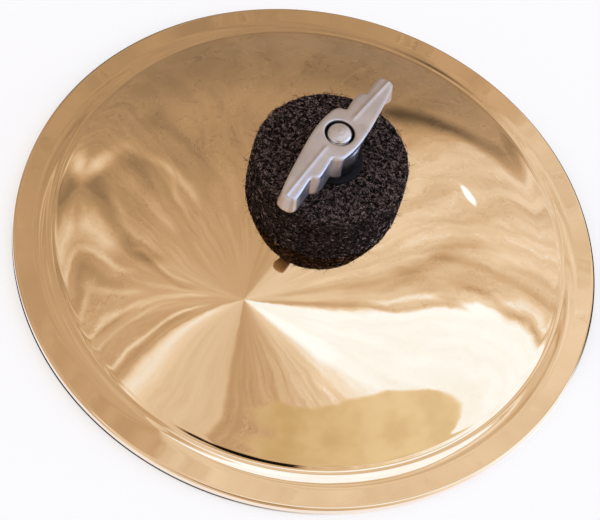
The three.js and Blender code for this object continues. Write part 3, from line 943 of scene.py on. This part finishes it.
def wing_field(sizes, s, t, z):
    """Field of the casting along a blade, across it and up: negative in the metal"""
    out = np.hypot(s, t)
    narrow = np.clip(z / sizes.boss_height, 0, 1)
    boss_wall = out - sizes.boss_radius + (sizes.boss_radius - sizes.boss_top_radius) * narrow
    boss = soft_max(boss_wall, -z, sizes.foot_blend)
    boss = soft_max(boss, z - 0.7 * sizes.height, sizes.edge_blend)
    body = soft_min(blade_field(sizes, s, t, z), boss, sizes.hub_blend)
    sunk = smooth_share(sizes.height - z, 0.7 * sizes.mouth_depth, sizes.mouth_depth)
    mouth = sizes.mouth - (sizes.mouth - sizes.bore) * sunk
    return soft_max(body, mouth - out, sizes.mouth_blend)


def skin_of(field, corner, cell):
    """Places and faces of a field's zero level, one place in each cell that it crosses"""
    cells = tuple(size - 1 for size in field.shape)
    total = np.zeros(cells + (3,))
    crossings = np.zeros(cells)
    for axis in range(3):
        for others in product((0, 1), repeat=2):
            start = np.insert(others, axis, 0)
            step = np.eye(3, dtype=int)[axis]
            low = field[tuple(slice(o, o + n) for o, n in zip(start, cells))]
            high = field[tuple(slice(o, o + n) for o, n in zip(start + step, cells))]
            crossed = (low < 0) != (high < 0)
            share = np.where(crossed, low / np.where(crossed, low - high, 1), 0)
            total += crossed[..., None] * (start + share[..., None] * step)
            crossings += crossed
    used = crossings > 0
    number_in = np.full(cells, -1)
    number_in[used] = np.arange(used.sum())
    places = corner + (np.argwhere(used) + total[used] / crossings[used][:, None]) * cell
    faces = []
    inside = field < 0
    for axis in range(3):
        step = np.eye(3, dtype=int)[axis]
        near, far = np.eye(3, dtype=int)[(axis + 1) % 3], np.eye(3, dtype=int)[(axis + 2) % 3]
        changes = np.argwhere(np.diff(inside, axis=axis))
        ring = [changes - near - far, changes - far, changes, changes - near]
        faces.append(np.stack([number_in[tuple(places_of.T)] for places_of in ring], axis=-1))
    return places, np.concatenate(faces).tolist()


def wing_nut_mesh(sizes, material):
    """Casting in its place: the field's skin, turned to where the nut is tight"""
    margin = 4 * sizes.cell
    low = np.array([-sizes.reach - margin, -sizes.boss_radius - margin, -margin])
    high = np.array([sizes.reach + margin, sizes.boss_radius + margin, sizes.height + margin])
    axes = [np.arange(a, b, sizes.cell) for a, b in zip(low, high)]
    field = wing_field(sizes, *np.meshgrid(*axes, indexing="ij"))
    for axis in range(3):
        field = (np.roll(field, 1, axis) + 2 * field + np.roll(field, -1, axis)) / 4
    places, faces = skin_of(field, low, sizes.cell)
    places[:, 1] *= -1
    made = add_object("wing_nut_casting", places.tolist(), faces, material)
    turn = Matrix.Rotation(sizes.turn, 4, "Z")
    made.data.transform(Matrix.Translation((0, 0, WING_LOW.z)) @ turn)
    return made


# Threaded pieces

def thread_radius(sizes, up, turns):
    """Radius of the screw's surface at heights and turns, its crests and roots cut flat"""
    place = np.mod(up / sizes.pitch - turns / TAU, 1)
    tooth = np.clip(TOOTH_SLOPE * (1 - np.abs(2 * place - 1)) - TOOTH_ROOT, 0, 1)
    return sizes.radius - sizes.depth * (1 - tooth)


def stud_points(sizes, segments=72):
    """Threaded stud, chamfered below and above, with a rounded tip"""
    low, high = STUD_LOW.z, STUD_HIGH.z
    side = np.linspace(low, high - sizes.dome,
                       int((high - low) / sizes.pitch * STEPS_A_THREAD))[:, None]
    nearest_end = np.minimum(side - low, high - sizes.dome - side)
    limit = sizes.radius - np.maximum(sizes.chamfer - nearest_end, 0)
    turns = around(segments)
    screw = ring_places(np.minimum(thread_radius(sizes, side, turns), limit), turns, side)
    end = sizes.radius - sizes.chamfer
    shares = np.array([0.96, 0.88, 0.75, 0.6, 0.45, 0.3, 0.15, 0.02])
    tip = [(end * share, high - sizes.dome * share ** 2) for share in shares]
    heel = [(end * share, low) for share in shares[::-1]]
    return np.concatenate([turned_points(heel, segments), screw, turned_points(tip, segments)])


def nut_points(hardware, stud, low, high, segments=144):
    """Hexagon nut with turned-off corners and a thread in its bore"""
    flat = hardware.across_flats / 2
    turns = around(segments)
    half_side = TAU / 12
    corner = flat / np.cos(np.mod(turns, 2 * half_side) - half_side)
    corner = np.minimum(corner, CORNER_SHARE * flat / math.cos(half_side))
    face = FACE_SHARE * flat
    cut = np.maximum(corner - face, 0) * math.tan(hardware.face_chamfer)
    mouth = stud.radius + stud.clearance + 0.0001
    rows = [(mouth, high), (face, high)]
    rows += [(corner, high - cut + (low - high + 2 * cut) * share)
             for share in np.linspace(0, 1, 9)]
    rows += [(face, low), (mouth, low)]
    for up in np.linspace(low, high, int((high - low) / stud.pitch * STEPS_A_THREAD))[1:-1]:
        depth = min(up - low, high - up)
        open_at = mouth - depth if depth < HOLE_CHAMFER else 0
        rows.append((np.maximum(thread_radius(stud, up, turns) + stud.clearance, open_at), up))
    return np.stack([ring_places(across, turns, up) for across, up in rows])


def ring_profile(inner, outer, low, high, edge):
    """Section of a washer or sleeve with four rounded edges"""
    return (arc(outer - edge, low + edge, edge, -QUARTER, 0, ROUND_STEPS)
            + arc(outer - edge, high - edge, edge, 0, QUARTER, ROUND_STEPS)
            + arc(inner + edge, high - edge, edge, QUARTER, math.pi, ROUND_STEPS)
            + arc(inner + edge, low + edge, edge, math.pi, THREE_QUARTERS, ROUND_STEPS))


# Stage

def unit(azimuth, elevation):
    """Direction with azimuth from +Y towards +X"""
    return Vector((math.sin(azimuth) * math.cos(elevation),
                   math.cos(azimuth) * math.cos(elevation), math.sin(elevation)))


def apart(turn, other):
    """Difference of two turns in degrees, from -180 to 180"""
    return (turn - other + FULL_TURN / 2) % FULL_TURN - FULL_TURN / 2


def tent_places(graph, sizes):
    """Direction, with its turn about the gather and its distance outwards in degrees"""
    direction = graph.coordinates("Generated")
    gather = unit(sizes.gather_azimuth, sizes.gather_elevation)
    north = (Vector((0, 1, 0)) - gather * gather.y).normalized()
    east = north.cross(gather)
    outwards = graph.math("DEGREES", graph.math("ARCCOSINE", graph.dot(direction, gather)))
    bearing = graph.math("ARCTAN2", graph.dot(direction, east), graph.dot(direction, north))
    return direction, graph.math("DEGREES", bearing) % FULL_TURN, outwards


def folded(graph, tone, turn, outwards, fold):
    """Tone with one fold added, which runs in a soft S from its start to its end"""
    start, start_turn, end, end_turn, half_width, gain = fold
    middle = graph.fade(outwards, start, end, start_turn, end_turn)
    share = graph.fade(abs(apart(turn, middle)), half_width, 0, 0, gain)
    share = share * graph.fade(outwards, start - 5, start + 3)
    return tone + share * graph.fade(outwards, end + 6, end - 1)


def wisped(graph, tone, turn, shifted, outwards):
    """Tone with fine wisps and creases along the folds, fewer where the cloth is bright and
    in the pale fan"""
    bearing = graph.math("RADIANS", shifted)
    place = graph.joined(graph.math("COSINE", bearing) * 9.0, graph.math("SINE", bearing) * 9.0,
                         outwards * 0.03)
    share = graph.fade(outwards, 3, 20) * graph.fade(tone, 1.15, 0.95, 0.2, 1.0)
    share = share * graph.fade(abs(apart(turn, FAN_TURN)), 22, 38, 0.4, 1.0)
    wisps = graph.fade(graph.noise(place, 1.8, 4, 0.3), 0.25, 0.75, -0.1, 0.1)
    tone = tone * (wisps * share + 1.0)
    finer = graph.vector_math("MULTIPLY", place, (1.0, 1.0, 2.5))
    ridges = graph.noise(finer, 1.5, 5, 0.5, 0.62) - 0.5
    creases = graph.fade(abs(ridges), 0.016, 0.0, 0.0, -0.11)
    creases = creases + graph.fade(abs(ridges - 0.022), 0.02, 0.0, 0.0, 0.07)
    return tone + creases * share * graph.fade(outwards, 14, 34)


def gilded(graph, tone, direction, turn, outwards, crumple):
    """Tone with the golden cloth laid in, and the golden cloth's share"""
    past = outwards - (crumple * 4.0 + graph.track(turn, GOLD_EDGE, 0, 90))
    gold = graph.fade(past, -0.8, 0.8) * graph.fade(turn, 176, 150) * graph.fade(turn, 92, 95)
    gold = gold * graph.fade(turn * 0.5 + outwards, 118, 114)
    mottled = graph.fade(turn, 100, 150, 0.9, 0.74) + graph.uneven(direction, 7, 2, -0.06, 0.06)
    return tone + (mottled - tone) * gold, gold


def glowing(graph, tone, turn, outwards):
    """Tone with the darker far cloth, the lamps that glow through and the dark slits"""
    far = graph.fade(outwards, 66, 90) * graph.fade(abs(apart(turn, FAR_TURN)), 38, 22)
    tone = tone * (far * -0.27 + 1.0)
    for at_turn, at_outwards, half_turn, half_outwards, gain in TENT_GLOWS:
        away = graph.reach(apart(turn, at_turn) / half_turn,
                           (outwards - at_outwards) / half_outwards)
        tone = tone + graph.fade(away, 1, 0, 0, gain)
    return graph.math("MAXIMUM", tone, 0.01)


def tent_colour(graph, sizes):
    """Cloth tent round the object: folds that run out from one gather, and a bright wall"""
    direction, turn, outwards = tent_places(graph, sizes)
    crumple = graph.noise(direction, 4.0, 3, 0.4) - 0.5
    ragged = crumple * sizes.raggedness * graph.fade(outwards, 6, 25)
    leaning = graph.math("MINIMUM", outwards, LEAN_END) - LEAN_START
    lean = graph.track(turn, TENT_LEANS, -1, 1)
    shifted = (turn + leaning * lean + ragged) % FULL_TURN
    dull = graph.fade(outwards, 8, 60) * graph.fade(abs(apart(turn, DULL_TURN)), 72, 40)
    tone = graph.track(shifted, TENT_TONES, 0, 2) * (dull * -0.3 + 1.1)
    wavering = ragged * 0.5 + turn
    for fold in TENT_FOLDS:
        tone = folded(graph, tone, wavering, outwards, fold)
    tone = wisped(graph, tone, turn, shifted, outwards)
    tone, gold = gilded(graph, tone, direction, turn, outwards, crumple)
    tone = glowing(graph, tone, turn, outwards)
    hue = graph.mix(graph.fade(tone, 0.55, 1.05), WARM_CLOTH, PALE_CLOTH)
    hue = graph.mix(graph.fade(tone, 0.98, 1.2), hue, BRIGHT_CLOTH)
    hue = graph.mix(gold * 0.15, hue, YELLOW)
    return graph.signal("ShaderNodeVectorMath", {0: hue, "Scale": tone}, operation="SCALE")


def build_world(sizes):
    """The tent lights the object and shows in the metal. The camera sees plain white."""
    world = bpy.data.worlds.new("tent")
    world.use_nodes = True
    bpy.context.scene.world = world
    graph = Graph(world.node_tree)
    shown = graph.mix(graph.ray("Is Camera Ray"), tent_colour(graph, sizes), WHITE)
    background = graph.signal("ShaderNodeBackground",
                              {"Color": shown, "Strength": sizes.tent_level})
    graph.add("ShaderNodeOutputWorld", {"Surface": background})


def floor_material(sizes, rim):
    """Pale paper seen as white. Metal sees it only close to the rim, as a painted glow with
    a painted contact shadow at the left of the rim, and looks through it to the tent further
    out."""
    material, graph = new_material("floor_paper", (0.9, 0.9, 0.9))
    place, across, (x, _y, _z) = object_place(graph)
    warm = tuple(sizes.floor_tone * share for share in PAPER_TINT)
    paper = graph.mix(graph.noise(place, 900, 2), tinted(warm, 0.99), warm)
    diffuse = graph.signal("ShaderNodeBsdfDiffuse", {"Color": paper})
    glow = graph.signal("ShaderNodeEmission", {
        "Color": (*WHITE, 1.0), "Strength": graph.ray("Is Camera Ray") * sizes.floor_glow})
    shown = graph.signal("ShaderNodeAddShader", {0: diffuse, 1: glow})
    # Painted contact shadow: a thin dark ring just beyond the rim, on its left side only
    painted_shadow_share = graph.fade(across, rim + PAINTED_SHADOW_ENDS[1], rim + PAINTED_SHADOW_ENDS[0])
    painted_shadow_share = painted_shadow_share * graph.fade(x, 0.4 * rim, -0.1 * rim)
    # Painted reflection: near the rim the floor glows bluish white, seen only by the metal
    bright = graph.signal("ShaderNodeEmission",
                          {"Color": graph.mix(painted_shadow_share, PAINTED_PAPER_GLOW, PAINTED_CONTACT_SHADE)})
    clear = graph.signal("ShaderNodeBsdfTransparent")
    beyond = graph.fade(across, rim + PAPER_ENDS[0], rim + PAPER_ENDS[1])
    painted_reflection = graph.signal("ShaderNodeMixShader", {0: beyond, 1: bright, 2: clear})
    metal = graph.math("MAXIMUM", graph.ray("Is Glossy Ray"), graph.ray("Is Transmission Ray"))
    graph.surface(graph.signal("ShaderNodeMixShader", {0: metal, 1: shown, 2: painted_reflection}))
    return material


def build_floor(sizes, rim_radius):
    half = sizes.floor_size / 2
    mesh = bpy.data.meshes.new("floor")
    mesh.from_pydata([(-half, -half, 0), (half, -half, 0), (half, half, 0), (-half, half, 0)],
                     [], [(0, 1, 2, 3)])
    mesh.materials.append(floor_material(sizes, rim_radius))
    linked("floor", mesh)


def build_camera(sizes):
    """Camera at the photograph's angle, tilted about its own axis"""
    azimuth, roll = sizes.camera_azimuth, sizes.camera_roll
    back = unit(math.pi - azimuth, sizes.camera_elevation)
    level = Vector((math.cos(azimuth), math.sin(azimuth), 0))
    right = level * math.cos(roll) + back.cross(level) * math.sin(roll)
    data = bpy.data.cameras.new("camera")
    data.lens = sizes.lens
    data.clip_start = 0.01
    camera = linked("camera", data)
    turn = Matrix((right, back.cross(right), back)).transposed().to_4x4()
    place = Vector(sizes.aim) + back * sizes.camera_distance
    camera.matrix_world = Matrix.Translation(place) @ turn
    bpy.context.scene.camera = camera


# Operators

def placed(piece, body, node):
    """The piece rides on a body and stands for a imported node"""
    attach(piece, body)
    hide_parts(node)


class BELL_OT_bell(bpy.types.Operator):
    """Add the polished bronze bell"""
    bl_idname = "bell_cymbal.bell"
    bl_label = "Bell"

    def execute(self, context):
        sizes = context.scene.bell_sizes
        points = softened(turned_points(bell_profile(sizes), sizes.segments), sizes)
        bell = add_grid("bell", points, bronze_material(context.scene.finishes, sizes))
        placed(bell, "bell", "bell_cymbal")
        return {"FINISHED"}


class BELL_OT_felts(bpy.types.Operator):
    """Add the thick felt with its fibres and the thin felt"""
    bl_idname = "bell_cymbal.felts"
    bl_label = "Felts"

    def execute(self, context):
        sizes, bell = context.scene.felt_sizes, context.scene.bell_sizes
        wool = felt_material(context.scene.finishes)
        self.add_felt("felt_upper", sizes, sizes.upper_radius, wool, "upper_felt",
                      lambda out: crown_height(bell, bell.crown_radius, out) + sizes.seat_gap,
                      lambda out: np.full_like(out, UPPER_FELT_HIGH.z),
                      (UPPER_FELT_HIGH.z, UPPER_FELT_HIGH.z - FELT_GIVE))
        self.add_felt("felt_lower", sizes, sizes.lower_radius, wool, "lower_felt",
                      lambda out: np.full_like(out, LOWER_FELT_LOW.z),
                      lambda out: crown_height(bell, bell.crown_radius - bell.wall, out)
                      - sizes.seat_gap,
                      (LOWER_FELT_LOW.z, LOWER_FELT_HIGH.z))
        self.add_fibres(context, sizes, bell)
        return {"FINISHED"}

    def add_felt(self, name, sizes, radius, wool, node, foot, top, heights):
        points, share, outwards = felt_shape(sizes, radius, foot, top)
        felt = add_grid(name, napped(points, share, outwards, sizes), wool)
        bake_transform(felt)
        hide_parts(node)

    def add_fibres(self, context, sizes, bell):
        draw = np.random.default_rng(sizes.seed)
        foot = float(crown_height(bell, bell.crown_radius, sizes.upper_radius))
        top = UPPER_FELT_HIGH.z
        on_wall = sizes.fibres * 3 // 5
        groups = [wall_fibres(draw, sizes, on_wall, foot, top),
                  roof_fibres(draw, sizes, sizes.fibres - on_wall, top),
                  loose_hairs(draw, sizes, foot, top)]
        paths = np.concatenate([group[0] for group in groups])
        lifts = np.concatenate([group[1] for group in groups])
        widths = sizes.fibre_width / 2 * draw.uniform(0.6, 1.3, len(paths))
        fibres = add_tubes("felt_upper_fibres", paths, lifts, widths,
                           fibre_material(context.scene.finishes))
        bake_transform(fibres)


class BELL_OT_wing_nut(bpy.types.Operator):
    """Add the cast wing nut"""
    bl_idname = "bell_cymbal.wing_nut"
    bl_label = "Wing nut"

    def execute(self, context):
        sizes = context.scene.wing_nut_sizes
        nut = wing_nut_mesh(sizes, cast_material(context.scene.finishes, sizes))
        placed(nut, "wing", "wing_nut")
        return {"FINISHED"}


class BELL_OT_stud(bpy.types.Operator):
    """Add the threaded stud"""
    bl_idname = "bell_cymbal.stud"
    bl_label = "Stud"

    def execute(self, context):
        scene = context.scene
        steel = steel_material("stud_steel", scene.finishes.stud_steel, low_rough=0.24,
                               high_rough=0.34, ring_step=0.0011)
        stud = add_grid("stud", stud_points(scene.stud_sizes), steel, rows_close=False,
                        sharp=math.radians(50))
        placed(stud, "stem", "threaded_stud")
        return {"FINISHED"}


class BELL_OT_rings(bpy.types.Operator):
    """Add the sleeve and the two washers"""
    bl_idname = "bell_cymbal.rings"
    bl_label = "Sleeve and washers"

    def execute(self, context):
        finishes, sizes = context.scene.finishes, context.scene.hardware_sizes
        stud = context.scene.stud_sizes
        bore = stud.radius + stud.clearance
        steel = steel_material("plated_steel", finishes.plated_steel, low_rough=0.14,
                               high_rough=0.24, ring_step=0.0009)
        nylon = dull_material("black_nylon", finishes.nylon, roughness=0.42, grain=1500,
                              depth=0.00002)
        fibre = dull_material("black_fibre", finishes.fibre, roughness=0.72, grain=2200,
                              depth=0.00005)
        rings = (
            ("sleeve", sizes.sleeve_bore, SLEEVE_LOW, SLEEVE_HIGH, nylon, "cushions",
             "black_nylon", "hole_sleeve"),
            ("washer_seat", bore, SEAT_LOW, SEAT_HIGH, steel, "stem", "plated_steel",
             "seat_washer"),
            ("washer_foot", bore, FOOT_LOW, FOOT_HIGH, fibre, "nut_foot", "black_fibre",
             "foot_washer"),
        )
        for name, inner, low, high, material, body, slot, node in rings:
            profile = ring_profile(inner, high.x, low.z, high.z, sizes.edge_break)
            ring = add_grid(name, turned_points(profile, RING_STEPS), material)
            placed(ring, body, node)
        return {"FINISHED"}


class BELL_OT_nuts(bpy.types.Operator):
    """Add the lock nut and the coupling nut"""
    bl_idname = "bell_cymbal.nuts"
    bl_label = "Hexagon nuts"

    def execute(self, context):
        scene = context.scene
        steel = steel_material("nut_steel", scene.finishes.plated_steel, low_rough=0.18,
                               high_rough=0.3, ring_step=0.0007)
        for name, low, high, node in (("nut_lock", LOCK_LOW, LOCK_HIGH, "lock_nut"),
                                      ("nut_coupling", COUPLING_LOW, COUPLING_HIGH,
                                       "coupling_nut")):
            points = nut_points(scene.hardware_sizes, scene.stud_sizes, low.z, high.z)
            nut = add_grid(name, points, steel, sharp=math.radians(25))
            placed(nut, "stem", node)
        return {"FINISHED"}


class BELL_OT_stage(bpy.types.Operator):
    """Add the floor, the tent and the camera"""
    bl_idname = "bell_cymbal.stage"
    bl_label = "Stage"

    def execute(self, context):
        sizes = context.scene.stage_sizes
        build_camera(sizes)
        build_floor(sizes, context.scene.bell_sizes.rim_radius)
        build_world(sizes)
        context.scene.view_settings.view_transform = "Standard"
        return {"FINISHED"}


OPERATORS = (BELL_OT_stage, BELL_OT_bell, BELL_OT_felts, BELL_OT_wing_nut, BELL_OT_stud,
             BELL_OT_rings, BELL_OT_nuts)


class BELL_PT_panel(bpy.types.Panel):
    """Sizes, finishes and the buttons that add the pieces"""
    bl_idname = "BELL_PT_panel"
    bl_label = "Bell Cymbal"
    bl_space_type = "VIEW_3D"
    bl_region_type = "UI"
    bl_category = "Bell Cymbal"

    def draw(self, context):
        for operator in OPERATORS:
            self.layout.operator(operator.bl_idname)
        for name, group in SETTINGS.items():
            box = self.layout.box()
            box.label(text=name.replace("_", " ").capitalize())
            for setting in group.__annotations__:
                box.prop(getattr(context.scene, name), setting)


CLASSES = (*SETTINGS.values(), *OPERATORS, BELL_PT_panel)


def register():
    for each in CLASSES:
        bpy.utils.register_class(each)
    for name, group in SETTINGS.items():
        setattr(bpy.types.Scene, name, PointerProperty(type=group))


def unregister():
    for name in SETTINGS:
        delattr(bpy.types.Scene, name)
    for each in reversed(CLASSES):
        bpy.utils.unregister_class(each)


def main():
    register()
    for operator in OPERATORS:
        group, name = operator.bl_idname.split(".")
        getattr(getattr(bpy.ops, group), name)()


if __name__ == "__main__":
    main()
